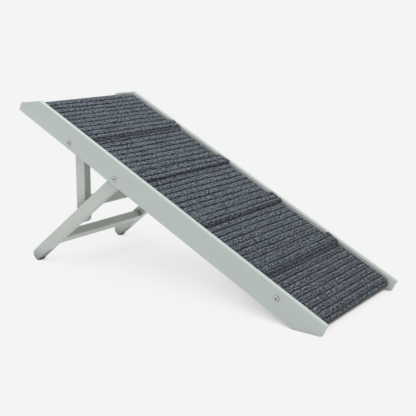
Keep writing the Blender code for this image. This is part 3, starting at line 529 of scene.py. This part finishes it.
def rib_height(share, opened):
    """How high the face stands at one share of a rib pitch: 0 in the deep groove and 1 on the crest.
    A wide rib and a narrow one share the pitch, each rounded between the creases on its two sides.
    Opened is how far the crease between them is open."""
    share %= 1.0
    crease = CREASE_HEIGHTS[0] + (CREASE_HEIGHTS[1] - CREASE_HEIGHTS[0]) * opened
    shape = ((0.0, 0.0), WIDE_CREST, (NARROW_CREASE, crease), NARROW_CREST, (1.0, 0.0))
    for (start, low), (end, high) in zip(shape, shape[1:]):
        if share <= end:
            part = (share - start) / (end - start)
            if high < low:
                part, low, high = 1.0 - part, high, low
            return low + (high - low) * math.sin(part * QUARTER_TURN)
    return 0.0


def uneven(across, station, spread):
    """Smooth unevenness at a place on the carpet, about 0. Spread is its sizes and its slice."""
    return noise.noise(Vector((across / spread[0], station / spread[1], spread[2])))


class CarpetStrip:
    """Looks up places along the carpet, between its back line and its crest line."""

    def __init__(self, sizes):
        self.sizes = sizes
        self.back = carpet_line(0.0, sizes.crest)
        self.crest = carpet_line(sizes.crest, sizes.crest)
        self.lengths = [0.0]
        for first, second in zip(self.crest, self.crest[1:]):
            self.lengths.append(self.lengths[-1] + (second - first).length)
        self.length = self.lengths[-1]
        level = BOARD_DEPTH - FIT - sizes.crest
        self.first_groove = self.length_at(bend_corner(level)) + sizes.first_groove
        self.cleats = [self.length_at(on_rail(centre, level - BUMP_HEIGHT)) for centre in CLEATS_ALONG]

    def length_at(self, place):
        """The length along the crest line at its point nearest to a place."""
        nearest = min(range(len(self.crest)), key=lambda index: (self.crest[index] - place).length)
        return self.lengths[nearest]

    def pitches(self, station):
        """How many rib pitches lie between the first groove and a length along the crest line. Over a
        cleat the carpet is pushed together or stretched a little, so that more or fewer ribs fit there."""
        gathered = 0.0
        for cleat, gather in zip(self.cleats, self.sizes.gather):
            share = clamp((station - cleat) / GATHER_REACH + 0.5)
            gathered += gather * share * share * (3 - 2 * share)
        return (station - self.first_groove + gathered) / self.sizes.rib_pitch

    def place(self, station, height):
        """The place at a length along the crest line and a share of the crest's height."""
        station = min(max(station, 0.0), self.length)
        index = min(bisect.bisect_right(self.lengths, station), len(self.lengths) - 1) - 1
        share = (station - self.lengths[index]) / (self.lengths[index + 1] - self.lengths[index])
        back = self.back[index].lerp(self.back[index + 1], share)
        crest = self.crest[index].lerp(self.crest[index + 1], share)
        return back.lerp(crest, height)

    def face_place(self, station, across):
        """The place on the ribbed face, and how high it stands between groove and crest. The ribs waver
        a little, as the needles and the hand that laid the carpet leave them, but not at the cut ends."""
        sizes = self.sizes
        free = clamp(min(station, self.length - station) / STEADY_END)
        waver = uneven(across, station, SLOW_WAVER) + QUICK_WAVER_SHARE * uneven(across, station, QUICK_WAVER)
        opened = clamp((station - self.first_groove - CREASE_OPENS[0]) / (CREASE_OPENS[1] - CREASE_OPENS[0]))
        height = rib_height(self.pitches(station), opened)
        worn = GROOVE_DEPTH + WEAR_SHARE * uneven(across, station, WEAR)
        sunk = (1.0 - height) * worn + LUMP_DEPTH * (1.0 + uneven(across, station, LUMPS))
        stands = 1.0 - (1.0 - sizes.valley / sizes.crest) * max(0.0, sunk)
        # Along its cut sides, and most at its cut end, the carpet is pressed down and its ribs flatten out.
        beside = clamp(1.0 - (CARPET_WIDTH / 2 - abs(across)) / sizes.pressed_side)
        on_cleat = any(abs(station - cleat) < BUMP_FLAT_HALF for cleat in self.cleats)
        ended = clamp(1.0 - (self.length - station) / PRESSED_END)
        pressed = max(beside * beside * (SIDE_PRESS_ON_CLEAT if on_cleat else SIDE_PRESS),
                      math.sin(ended * QUARTER_TURN))
        stands += (PRESSED_HEIGHT - stands) * pressed
        return self.place(station + free * sizes.waver * waver, stands), height


class RampSizes(bpy.types.PropertyGroup):
    """Sizes of the ramp's finished pieces."""
    crest: bpy.props.FloatProperty(
        name="Carpet Crest", description="Thickness of the carpet at the top of a rib",
        default=5.7 * MM, min=3 * MM, max=8 * MM, unit="LENGTH")
    valley: bpy.props.FloatProperty(
        name="Carpet Groove", description="Thickness of the carpet in a deep groove",
        default=2.1 * MM, min=1 * MM, max=5 * MM, unit="LENGTH")
    rib_pitch: bpy.props.FloatProperty(
        name="Rib Pitch", description="Distance from one deep groove to the next",
        default=20.4 * MM, min=8 * MM, max=40 * MM, unit="LENGTH")
    first_groove: bpy.props.FloatProperty(
        name="First Groove", description="Distance from the bend to the first deep groove",
        default=16.8 * MM, min=0.0, max=40 * MM, unit="LENGTH")
    gather: bpy.props.FloatVectorProperty(
        name="Gather", description="Extra carpet pushed together over each cleat", size=4,
        default=(3.3 * MM, 0.8 * MM, 1.3 * MM, -0.7 * MM), min=-8 * MM, max=8 * MM, unit="LENGTH")
    waver: bpy.props.FloatProperty(
        name="Waver", description="How far a rib strays from a straight line",
        default=2.2 * MM, min=0.0, max=5 * MM, unit="LENGTH")
    pressed_side: bpy.props.FloatProperty(
        name="Pressed Side", description="How far in from its cut sides the carpet is pressed down",
        default=9.0 * MM, min=1 * MM, max=30 * MM, unit="LENGTH")
    points_per_pitch: bpy.props.IntProperty(
        name="Points per Pitch", description="Mesh points over one rib pitch", default=16, min=6, max=24)
    steps_across: bpy.props.IntProperty(
        name="Steps Across", description="Mesh steps across the carpet's width", default=48, min=8, max=96)
    bolt_head: bpy.props.FloatProperty(
        name="Bolt Head", description="Diameter of a bolt's round head",
        default=15.5 * MM, min=10 * MM, max=20 * MM, unit="LENGTH")
    bolt_dome: bpy.props.FloatProperty(
        name="Bolt Dome", description="Height of a bolt's head",
        default=3.2 * MM, min=1 * MM, max=5 * MM, unit="LENGTH")
    bolt_shank: bpy.props.FloatProperty(
        name="Bolt Shank", description="Diameter of a bolt's shank",
        default=6.0 * MM, min=4 * MM, max=6 * MM, unit="LENGTH")
    key_size: bpy.props.FloatProperty(
        name="Key Size", description="Width across the flats of a bolt's hex socket",
        default=4.0 * MM, min=3 * MM, max=5 * MM, unit="LENGTH")
    staple_crown: bpy.props.FloatProperty(
        name="Staple Crown", description="Length of a staple's crown",
        default=10.0 * MM, min=6 * MM, max=14 * MM, unit="LENGTH")
    staple_count: bpy.props.IntProperty(
        name="Staples", description="Staples along the carpet's tucked end", default=9, min=2, max=20)


def colour_property(name, hex_colour, description):
    """A colour that the user can change, with its default as sRGB hex."""
    return bpy.props.FloatVectorProperty(name=name, description=description, subtype="COLOR", size=3,
                                         min=0.0, max=1.0, default=linear(hex_colour))


class RampColours(bpy.types.PropertyGroup):
    """Colours of the ramp's finishes."""
    paint: colour_property("Paint", "#b7bfbb", "Satin sage-grey lacquer on the rails")
    # The rails' lacquer, painted a little paler and warmer as painted light for the warm light bounced under
    # the deck.
    frame_paint: colour_property("Frame Paint", "#bac0bb", "The same lacquer, a little warmer, under the deck")
    # Paler lacquer for the painted highlight on the eased edges, which are partly thinner paint, and for the
    # painted light on the faces that look the given way.
    highlight_paint: colour_property("Worn Paint", "#dde3df", "Lacquer on the eased and rubbed edges")
    carpet_rib: colour_property("Carpet Rib", "#424951", "Crest of the carpet's ribs")
    # Painted shade: the dark colour down in the carpet's grooves.
    carpet_groove_shade: colour_property("Carpet Groove", "#1e242b", "Depth of the carpet's grooves")
    carpet_pale: colour_property("Pale Fibres", "#929ba4", "Palest fibres of the heathered carpet")
    carpet_dark: colour_property("Dark Fibres", "#1b2128", "Darkest fibres of the heathered carpet")
    plywood_pale: colour_property("Plywood", "#a39b8e", "Early wood of the birch plywood")
    plywood_dark: colour_property("Plywood Grain", "#867c6e", "Late wood of the birch plywood")
    pine_pale: colour_property("Pine", "#beb5a6", "Early wood of the bare pine")
    pine_dark: colour_property("Pine Grain", "#a8967c", "Late wood of the bare pine")
    steel: colour_property("Steel", "#bfbfbb", "Bright zinc plate")
    # Painted shade round a bolt's seat and in its socket.
    seat_shade_steel: colour_property("Oiled Steel", "#3c3a37", "Oil and dust round a bolt's seat and in its socket")
    nylon: colour_property("Nylon", "#a7a9a7", "Grey nylon washers and sleeves")
    rubber: colour_property("Rubber", "#454746", "Black rubber of the foot pads, dulled by dust")
    backdrop: colour_property("Backdrop", "#f4f4f4", "Pale studio floor and backdrop")


def find_stations(strip, sizes):
    """The lengths at which the carpet has points. They fall on the creases' lowest lines, whatever the
    gather does to the ribs there."""
    step = 1.0 / sizes.points_per_pitch
    fine = [strip.length * index / SEARCH_STEPS for index in range(SEARCH_STEPS + 1)]
    counts = [strip.pitches(station) for station in fine]
    stations = [0.0]
    for number in range(math.ceil(counts[0] / step), math.floor(counts[-1] / step) + 1):
        upper = min(max(bisect.bisect_left(counts, number * step), 1), len(fine) - 1)
        share = (number * step - counts[upper - 1]) / (counts[upper] - counts[upper - 1])
        station = fine[upper - 1] + share * (fine[upper] - fine[upper - 1])
        if stations[-1] + LEAST_SPACE < station < strip.length - LEAST_SPACE:
            stations.append(station)
    return stations + [strip.length]


def build_carpet_mesh(strip, sizes):
    """The ribbed carpet as a bmesh: a ladder between its back and its face, drawn out across the width,
    then laid to its ribs."""
    stations = find_stations(strip, sizes)
    solid = bmesh.new()
    station_layer = solid.verts.layers.float.new("station")
    face_layer = solid.verts.layers.float.new("on_face")
    chains = []
    for on_face in (0.0, 1.0):
        chain = []
        for station in stations:
            place = strip.place(station, on_face)
            vertex = solid.verts.new((place.x, -CARPET_WIDTH / 2, place.y))
            vertex[station_layer] = station
            vertex[face_layer] = on_face
            chain.append(vertex)
        chains.append([solid.edges.new(pair) for pair in zip(chain, chain[1:])])
    bmesh.ops.bridge_loops(solid, edges=chains[0] + chains[1])
    drawn = solid.verts[:] + solid.edges[:] + solid.faces[:]
    bmesh.ops.spin(solid, geom=drawn, cent=(0.0, 0.0, 0.0), axis=(0.0, 1.0, 0.0), angle=0.0,
                   dvec=(0.0, CARPET_WIDTH / sizes.steps_across, 0.0), steps=sizes.steps_across)
    # The steps crowd together towards the sides, where the ribs flatten.
    for vertex in solid.verts:
        share = 2 * vertex.co.y / CARPET_WIDTH
        crowded = math.sin(share * QUARTER_TURN)
        vertex.co.y = CARPET_WIDTH / 2 * ((1.0 - SIDE_CROWDING) * share + SIDE_CROWDING * crowded)
    flat_map = solid.loops.layers.uv.new("carpet_flat")
    crest_layer = solid.verts.layers.float.new("crest_height")
    for vertex in solid.verts:
        if vertex[face_layer] > 0.5:
            place, height = strip.face_place(vertex[station_layer], vertex.co.y)
            vertex.co.x, vertex.co.z = place
            vertex[crest_layer] = height
        for loop in vertex.link_loops:
            loop[flat_map].uv = (vertex.co.y, vertex[station_layer])
    bmesh.ops.remove_doubles(solid, verts=solid.verts, dist=ONE_POINT)
    bmesh.ops.transform(solid, matrix=DECK_FRAME, verts=solid.verts)
    return solid


def only(kind, items):
    """Those of a mesh's new items that are of one kind."""
    return [item for item in items if isinstance(item, kind)]


def build_bolt_mesh(sizes, length):
    """A domed bolt with a hex socket, its head's seat at height 0 and its shank below it."""
    head, dome, shank = sizes.bolt_head / 2, sizes.bolt_dome, sizes.bolt_shank / 2
    socket_rim = sizes.key_size / math.sqrt(3) + SOCKET_RIM
    rim = math.acos(socket_rim / head)
    top = dome * math.sin(rim)
    turns = [rim * (DOME_STEPS - step) / DOME_STEPS for step in range(DOME_STEPS + 1)]
    profile = [(head * math.cos(turn), dome * math.sin(turn)) for turn in turns]
    profile += [(head - HEAD_EDGE, 0.0), (shank + SHANK_FILLET, 0.0), (shank, -SHANK_FILLET),
                (shank, SHANK_CHAMFER - length), (shank - SHANK_CHAMFER, -length)]
    solid = bmesh.new()
    chain = [solid.verts.new((radius, 0.0, height)) for radius, height in profile]
    edges = [solid.edges.new(pair) for pair in zip(chain, chain[1:])]
    bmesh.ops.spin(solid, geom=chain + edges, cent=(0.0, 0.0, 0.0), axis=(0.0, 0.0, 1.0), dvec=(0.0, 0.0, 0.0),
                   angle=2 * math.pi, steps=BOLT_SIDES, use_merge=True)
    # From the round rim, a small chamfer runs down to the socket's six flats.
    rim_edges = [edge for edge in solid.edges if edge.is_boundary and edge.verts[0].co.z > 0]
    chamfer = bmesh.ops.extrude_edge_only(solid, edges=rim_edges)["geom"]
    for vertex in only(bmesh.types.BMVert, chamfer):
        turn = math.atan2(vertex.co.y, vertex.co.x) % (math.pi / 3) - math.pi / 6
        flat = sizes.key_size / 2 / math.cos(turn)
        spread = flat / Vector(vertex.co.xy).length
        vertex.co = (vertex.co.x * spread, vertex.co.y * spread, top - SOCKET_CHAMFER)
    wall = bmesh.ops.extrude_edge_only(solid, edges=only(bmesh.types.BMEdge, chamfer))["geom"]
    bmesh.ops.translate(solid, verts=only(bmesh.types.BMVert, wall), vec=(0.0, 0.0, -SOCKET_DEPTH))
    bmesh.ops.holes_fill(solid, edges=[edge for edge in solid.edges if edge.is_boundary], sides=0)
    bmesh.ops.recalc_face_normals(solid, faces=solid.faces)
    seat_socket_shade = solid.verts.layers.float.new("seat_socket_shade")
    # Painted shade: 1 in the socket, fading from the seat up the head.
    for vertex in solid.verts:
        in_socket = Vector(vertex.co.xy).length < socket_rim - 0.1 * MM
        from_seat = max(vertex.co.z, 0.0) / (SEAT_SHADE_SHARE * dome)
        vertex[seat_socket_shade] = 1.0 if in_socket else max(0.0, 1.0 - from_seat)
    return solid


def add_box(solid, place, size):
    """Add a box of three sizes about a place, and give its vertices."""
    matrix = place @ Matrix.LocRotScale(None, None, size)
    return bmesh.ops.create_cube(solid, size=1.0, matrix=matrix)["verts"]


def add_staple(row, seat, crown):
    """Add one staple of flat wire: a crown with rounded ends, and a leg under each end. The legs are a
    little slimmer than the crown, so that no two faces share a plane."""
    wire, leg = STAPLE_WIRE, STAPLE_LEG
    bar = add_box(row, seat, (wire * 1.6, crown, wire))
    ends = [face for face in {face for vertex in bar for face in vertex.link_faces}
            if abs((seat.inverted().to_3x3() @ face.normal).y) > 0.9]
    bmesh.ops.bevel(row, geom=list({edge for face in ends for edge in face.edges}), offset=STAPLE_ROUNDING,
                    affect="EDGES", segments=2, profile=0.5, material=-1)
    for end in (-1, 1):
        under_end = Matrix.Translation((0.0, end * (crown - wire) / 2, leg / 2))
        add_box(row, seat @ under_end, (wire * 1.4, wire * 0.9, leg))


class PETRAMP_OT_carpet(bpy.types.Operator):
    """Lay the ribbed carpet over the deck, its cleats and its nose"""
    bl_idname = "pet_ramp.carpet"
    bl_label = "Lay Carpet"

    def execute(self, context):
        sizes = context.scene.pet_ramp_sizes
        strip = CarpetStrip(sizes)
        solid = build_carpet_mesh(strip, sizes)
        carpet = make_piece("ribbed_carpet_strip", solid, ribbed_carpet(context.scene.pet_ramp_colours),
                            "ramp_deck", sharp=math.radians(75.0))
        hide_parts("carpet")
        return {"FINISHED"}


class PETRAMP_OT_bolts(bpy.types.Operator):
    """Fit the six domed bolts that hold the hinges and the low batten"""
    bl_idname = "pet_ramp.bolts"
    bl_label = "Fit Bolts"

    def execute(self, context):
        sizes = context.scene.pet_ramp_sizes
        steel = bright_steel("bright_zinc_bolts", context.scene.pet_ramp_colours, 0.6 * MM, 0.22, shaded_seat=True)
        for kind, body, (along, deep), length in BOLTS:
            for side, sign in SIDES:
                solid = build_bolt_mesh(sizes, length)
                place = DECK_FRAME @ Vector((along, 0.0, -deep))
                place.y = sign * (RAIL_OUTER_FACE + FIT)
                outwards = Matrix.Rotation(-sign * QUARTER_TURN, 4, "X")
                bmesh.ops.transform(solid, matrix=Matrix.Translation(place) @ outwards, verts=solid.verts)
                bolt = make_piece(f"{side}_{kind}_domed", solid, steel, body)
                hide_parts(f"{side}_{kind}")
        return {"FINISHED"}


class PETRAMP_OT_staples(bpy.types.Operator):
    """Drive the staples that hold the carpet's tucked end under the landing"""
    bl_idname = "pet_ramp.staples"
    bl_label = "Drive Staples"

    def execute(self, context):
        sizes = context.scene.pet_ramp_sizes
        row = bmesh.new()
        # Seen from below, the crowns press a little into the carpet's tucked face.
        crown = on_landing(LANDING_BOARD_LENGTH - TUCK_UNDER / 2,
                           BOARD_UNDERSIDE + FIT + sizes.crest - STAPLE_PRESS)
        tilt = Matrix.Rotation(-BEND_ANGLE, 4, "Y")
        for number in range(sizes.staple_count):
            across = CARPET_WIDTH * ((number + 0.5) / sizes.staple_count - 0.5)
            slant = Matrix.Rotation(math.radians(STAPLE_SLANT * math.sin(7.3 * number)), 4, "Z")
            seat = Matrix.Translation((crown.x, across, crown.y)) @ tilt @ slant
            add_staple(row, seat, sizes.staple_crown)
        bmesh.ops.transform(row, matrix=DECK_FRAME, verts=row.verts)
        steel = bright_steel("galvanised_staple_wire", context.scene.pet_ramp_colours, 0.5 * MM, 0.34)
        make_piece("carpet_staples", row, steel, "ramp_deck")
        return {"FINISHED"}


class PETRAMP_OT_paintwork(bpy.types.Operator):
    """Paint the rails, battens, legs, posts and crossbars"""
    bl_idname = "pet_ramp.paintwork"
    bl_label = "Paint Timber"

    def execute(self, context):
        colours = context.scene.pet_ramp_colours
        for name, nodes, paint, *finish in PAINTWORK:
            finish_nodes(nodes, painted_timber(name, getattr(colours, paint), colours, *finish))
        return {"FINISHED"}


class PETRAMP_OT_bare_wood(bpy.types.Operator):
    """Finish the plywood boards, the bare nose rail, the cleats and the dowels"""
    bl_idname = "pet_ramp.bare_wood"
    bl_label = "Finish Bare Wood"

    def execute(self, context):
        colours = context.scene.pet_ramp_colours
        pine = (colours.pine_pale, colours.pine_dark)
        birch = (colours.plywood_pale, colours.plywood_dark)
        finish_nodes(("deck_board", "landing_board"),
                     sawn_wood("birch_plywood_face", *birch, 5 * MM, 0, RAMP_ANGLE, 0.62))
        finish_nodes(["nose_rail"] + [f"tread_cleat_{number}" for number in range(1, 5)],
                     sawn_wood("planed_pine", *pine, 3.5 * MM, 1, RAMP_ANGLE, 0.66))
        finish_nodes(nodes_ending("_dowel_1", "_dowel_2"),
                     sawn_wood("beech_dowel", *birch, 2 * MM, 1, 0.0, 0.6))
        return {"FINISHED"}


class PETRAMP_OT_hardware(bpy.types.Operator):
    """Finish the pins, inserts, barrel nuts, washers, sleeves and foot pads"""
    bl_idname = "pet_ramp.hardware"
    bl_label = "Finish Hardware"

    def execute(self, context):
        colours = context.scene.pet_ramp_colours
        finish_nodes(nodes_ending("_insert", "_barrel_nut", "_brace_pin"),
                     bright_steel("zinc_plated_fittings", colours, 0.5 * MM, 0.26))
        finish_nodes(nodes_ending("_washer", "_sleeve"),
                     moulded("grey_nylon", colours.nylon, 0.8 * MM, 0.04 * MM, 0.48, 1.53))
        finish_nodes(("near_foot_pad", "far_foot_pad"),
                     moulded("black_rubber_pad", colours.rubber, 0.9 * MM, 0.12 * MM, 0.78, 1.52))
        return {"FINISHED"}


class PETRAMP_OT_stage(bpy.types.Operator):
    """Set the pale floor, the soft lamps, the world and the camera"""
    bl_idname = "pet_ramp.stage"
    bl_label = "Set Stage"

    def execute(self, context):
        scene = context.scene
        scene.view_settings.view_transform = "Standard"
        backdrop = opaque(scene.pet_ramp_colours.backdrop)
        build_floor(backdrop)
        build_world(scene, backdrop)
        for name, place, power in LAMPS:
            build_lamp(name, place, power)
        build_camera(scene)
        return {"FINISHED"}


def seen_directly(tree):
    """1 where the camera looks, also through something clear, and 0 for light that bounces about."""
    paths = add_node(tree, "ShaderNodeLightPath").outputs
    return combine(tree, "MAXIMUM", paths["Is Camera Ray"], paths["Is Transmission Ray"])


def either(tree, share, first, second):
    """The first shader where the share is 0, and the second where it is 1."""
    return add_node(tree, "ShaderNodeMixShader",
                    {0: share, 1: first.outputs[0], 2: second.outputs[0]})


def build_floor(backdrop):
    """A pale studio floor. To the camera it is a glow as bright as the backdrop, with the ramp's soft
    shadow painted into it from how much of the sky the ramp shuts off, and to all else it is plain pale
    paper. Its underside is clear, so that the ramp can be seen from below."""
    material = bpy.data.materials.new("pale_studio_paper")
    tree = empty_tree(material)
    paper = add_node(tree, "ShaderNodeBsdfDiffuse", {"Color": (0.88, 0.88, 0.88, 1.0)})
    # Painted shadow: the glow's strength falls where the ramp shuts off the light.
    strength = 1.0
    for reach, way, least, power, depth in FLOOR_SHADOWS:
        upwards = add_node(tree, "ShaderNodeCombineXYZ", dict(enumerate(way))).outputs[0]
        free = add_node(tree, "ShaderNodeAmbientOcclusion", {"Distance": reach, "Normal": upwards}, samples=16)
        shut = remap(tree, free.outputs["AO"], 1.0 - least, 0.0, 0.0, 1.0 - least)
        strength = combine(tree, "MULTIPLY_ADD", combine(tree, "POWER", shut, power), depth, strength)
    glow = add_node(tree, "ShaderNodeEmission", {"Color": backdrop, "Strength": strength})
    above = either(tree, seen_directly(tree), paper, glow)
    below = add_node(tree, "ShaderNodeNewGeometry").outputs["Backfacing"]
    sided = either(tree, below, above, add_node(tree, "ShaderNodeBsdfTransparent"))
    add_node(tree, "ShaderNodeOutputMaterial", {"Surface": sided.outputs[0]})
    ground = bmesh.new()
    bmesh.ops.create_circle(ground, cap_ends=True, segments=64, radius=FLOOR_RADIUS,
                            matrix=Matrix.Translation((0.0, 0.0, FLOOR_HEIGHT)))
    floor = add_object("studio_floor", make_mesh("studio_floor", ground, material))


def build_world(scene, backdrop):
    """Even light from all round, behind a pale backdrop."""
    world = bpy.data.worlds.new("soft_studio")
    tree = empty_tree(world)
    light = add_node(tree, "ShaderNodeBackground", {"Color": (1.0, 1.0, 1.0, 1.0), "Strength": SKY_STRENGTH})
    wall = add_node(tree, "ShaderNodeBackground", {"Color": backdrop, "Strength": 1.0})
    both = either(tree, seen_directly(tree), light, wall)
    add_node(tree, "ShaderNodeOutputWorld", {"Surface": both.outputs[0]})
    scene.world = world


def build_lamp(name, place, power):
    """A soft square lamp that looks at the ramp's middle."""
    light = bpy.data.lights.new(name, "AREA")
    light.shape = "SQUARE"
    light.size = LAMP_SIZE
    light.energy = power
    lamp = add_object(name, light)
    lamp.location = place
    lamp.rotation_euler = (LAMP_AIM - lamp.location).to_track_quat("-Z", "Y").to_euler()


def build_camera(scene):
    """The camera at the photograph's place and angle."""
    ahead = math.cos(CAMERA_PITCH)
    look = Vector((-math.sin(CAMERA_YAW) * ahead, math.cos(CAMERA_YAW) * ahead, -math.sin(CAMERA_PITCH)))
    right = look.cross(Vector((0.0, 0.0, 1.0))).normalized()
    up = right.cross(look)
    turned = Matrix((right, up, -look)).transposed() @ Matrix.Rotation(CAMERA_ROLL, 3, "Z")
    data = bpy.data.cameras.new("photo_camera")
    data.sensor_width = 36.0
    data.lens = CAMERA_LENS
    data.clip_start, data.clip_end = 0.05, 60.0
    camera = add_object("photo_camera", data)
    camera.matrix_world = Matrix.Translation(CAMERA_PLACE) @ turned.to_4x4()
    scene.camera = camera


class PETRAMP_PT_workshop(bpy.types.Panel):
    """Lists the ramp's pieces, sizes and colours"""
    bl_idname = "PETRAMP_PT_workshop"
    bl_label = "Pet Ramp"
    bl_space_type = "VIEW_3D"
    bl_region_type = "UI"
    bl_category = "Pet Ramp"

    def draw(self, context):
        layout = self.layout
        for operator in OPERATORS:
            layout.operator(operator.bl_idname)
        for group in (context.scene.pet_ramp_sizes, context.scene.pet_ramp_colours):
            box = layout.box()
            for name in group.__annotations__:
                box.prop(group, name)


OPERATORS = (PETRAMP_OT_carpet, PETRAMP_OT_bolts, PETRAMP_OT_staples, PETRAMP_OT_paintwork,
             PETRAMP_OT_bare_wood, PETRAMP_OT_hardware, PETRAMP_OT_stage)
CLASSES = (RampSizes, RampColours, *OPERATORS, PETRAMP_PT_workshop)


def register():
    """Register the classes and give the scene its sizes and colours."""
    for entry in CLASSES:
        bpy.utils.register_class(entry)
    bpy.types.Scene.pet_ramp_sizes = bpy.props.PointerProperty(type=RampSizes)
    bpy.types.Scene.pet_ramp_colours = bpy.props.PointerProperty(type=RampColours)


def unregister():
    """Take the classes and the scene's sizes and colours away again."""
    del bpy.types.Scene.pet_ramp_colours
    del bpy.types.Scene.pet_ramp_sizes
    for entry in reversed(CLASSES):
        bpy.utils.unregister_class(entry)


def main():
    """Make every piece and the stage."""
    register()
    bpy.ops.pet_ramp.carpet()
    bpy.ops.pet_ramp.bolts()
    bpy.ops.pet_ramp.staples()
    bpy.ops.pet_ramp.paintwork()
    bpy.ops.pet_ramp.bare_wood()
    bpy.ops.pet_ramp.hardware()
    bpy.ops.pet_ramp.stage()


if __name__ == "__main__":
    main()
